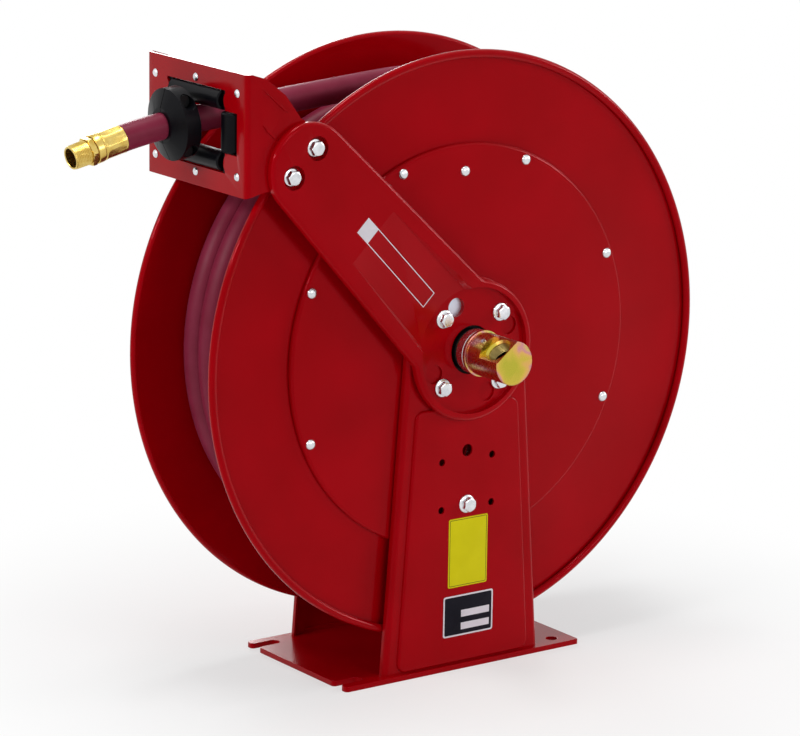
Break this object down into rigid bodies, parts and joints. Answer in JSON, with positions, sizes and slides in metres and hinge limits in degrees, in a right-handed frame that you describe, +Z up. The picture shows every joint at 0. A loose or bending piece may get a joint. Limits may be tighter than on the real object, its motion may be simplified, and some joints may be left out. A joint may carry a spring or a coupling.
{
  "type": "spring-rewind hose reel",
  "caption": "Red spring-rewind hose reel on twin pressed pedestals, with wound rubber hose, guide arms, roller guide, hose stop and inlet swivel.",
  "frame": {"origin": "centre of the base plate's underside, midway between the two pedestals and under the hub", "axes": "+Z is up; the reel turns about an axis along Y with the inlet swivel on the -Y side; the hose leaves towards -X"},
  "size_m": [0.7719, 0.292, 0.687],
  "materials": {
    "red_coat": "glossy red powder coat on pressed steel",
    "zinc": "bright zinc plate",
    "bare_steel": "plain machined steel",
    "yellow_zinc": "yellow zinc plate with a faint iridescence",
    "bronze": "sintered bronze",
    "black_moulding": "moulded black nylon",
    "hose_rubber": "smooth dark red rubber cover",
    "seal_rubber": "black rubber",
    "brass": "turned brass"
  },
  "bodies": {
    "frame": {"base_plate": "red_coat", "inlet_pedestal": "red_coat", "spring_pedestal": "red_coat", "inlet_guide_arm": "red_coat", "spring_guide_arm": "red_coat", "roller_bracket": "red_coat", "roller_frame": "black_moulding", "bracket_rivets": "zinc", "level_roller_pins": "zinc", "upright_roller_pins": "zinc", "inlet_bearing_housing": "bare_steel", "inlet_bearing_bush": "bronze", "inlet_hub_bolts": "zinc", "spring_hub_bolts": "zinc", "inlet_arm_bolts": "zinc", "spring_arm_bolts": "zinc", "inlet_arm_nuts": "zinc", "spring_arm_nuts": "zinc", "pawl_pivot_bolt": "zinc", "pawl_spacer": "zinc", "pawl_spring": "bare_steel", "pawl_clip": "zinc", "spring_arbor": "bare_steel", "hose_lead": "hose_rubber", "inlet_stop_half": "black_moulding", "spring_stop_half": "black_moulding", "stop_screws": "zinc", "hose_ferrule": "brass", "hose_fitting": "brass"},
    "spool": {"inlet_disc": "red_coat", "spring_disc": "red_coat", "hose_drum": "red_coat", "inlet_cover": "red_coat", "spring_cover": "red_coat", "inlet_cover_screws": "zinc", "spring_cover_screws": "zinc", "axle": "zinc", "axle_collar": "zinc", "ratchet_sprocket": "zinc", "sprocket_screws": "zinc", "outlet_riser": "zinc", "spring_case": "bare_steel", "main_spring": "bare_steel", "spring_hub": "bare_steel", "spring_hub_bush": "bronze", "spring_hub_screws": "zinc", "hose_pack": "hose_rubber"},
    "inlet_swivel": {"swivel_body": "yellow_zinc", "swivel_seals": "seal_rubber", "swivel_screw": "zinc"},
    "upper_roller": {"upper_roller": "black_moulding"},
    "lower_roller": {"lower_roller": "black_moulding"},
    "inlet_side_roller": {"inlet_side_roller": "black_moulding"},
    "spring_side_roller": {"spring_side_roller": "black_moulding"},
    "pawl": {"pawl": "zinc"}
  },
  "joints": [
    {"name": "spool_spin", "type": "hinge", "parent": "frame", "child": "spool", "pos_m": [0, 0, 0.362], "axis": [0, 1, 0], "continuous": true},
    {"name": "swivel_spin", "type": "hinge", "parent": "frame", "child": "inlet_swivel", "pos_m": [0, -0.15, 0.362], "axis": [0, 1, 0], "continuous": true},
    {"name": "upper_roller_spin", "type": "hinge", "parent": "frame", "child": "upper_roller", "pos_m": [-0.286, 0, 0.6533], "axis": [0, 1, 0], "continuous": true},
    {"name": "lower_roller_spin", "type": "hinge", "parent": "frame", "child": "lower_roller", "pos_m": [-0.286, 0, 0.5887], "axis": [0, 1, 0], "continuous": true},
    {"name": "inlet_side_roller_spin", "type": "hinge", "parent": "frame", "child": "inlet_side_roller", "pos_m": [-0.284, -0.0595, 0.621], "axis": [0, 0, 1], "continuous": true},
    {"name": "spring_side_roller_spin", "type": "hinge", "parent": "frame", "child": "spring_side_roller", "pos_m": [-0.284, 0.0595, 0.621], "axis": [0, 0, 1], "continuous": true},
    {"name": "pawl_swing", "type": "hinge", "parent": "frame", "child": "pawl", "pos_m": [0, -0.0855, 0.188], "axis": [0, 1, 0], "range_deg": [-40, 10], "stiffness_Nm_per_rad": 0.3}
  ]
}
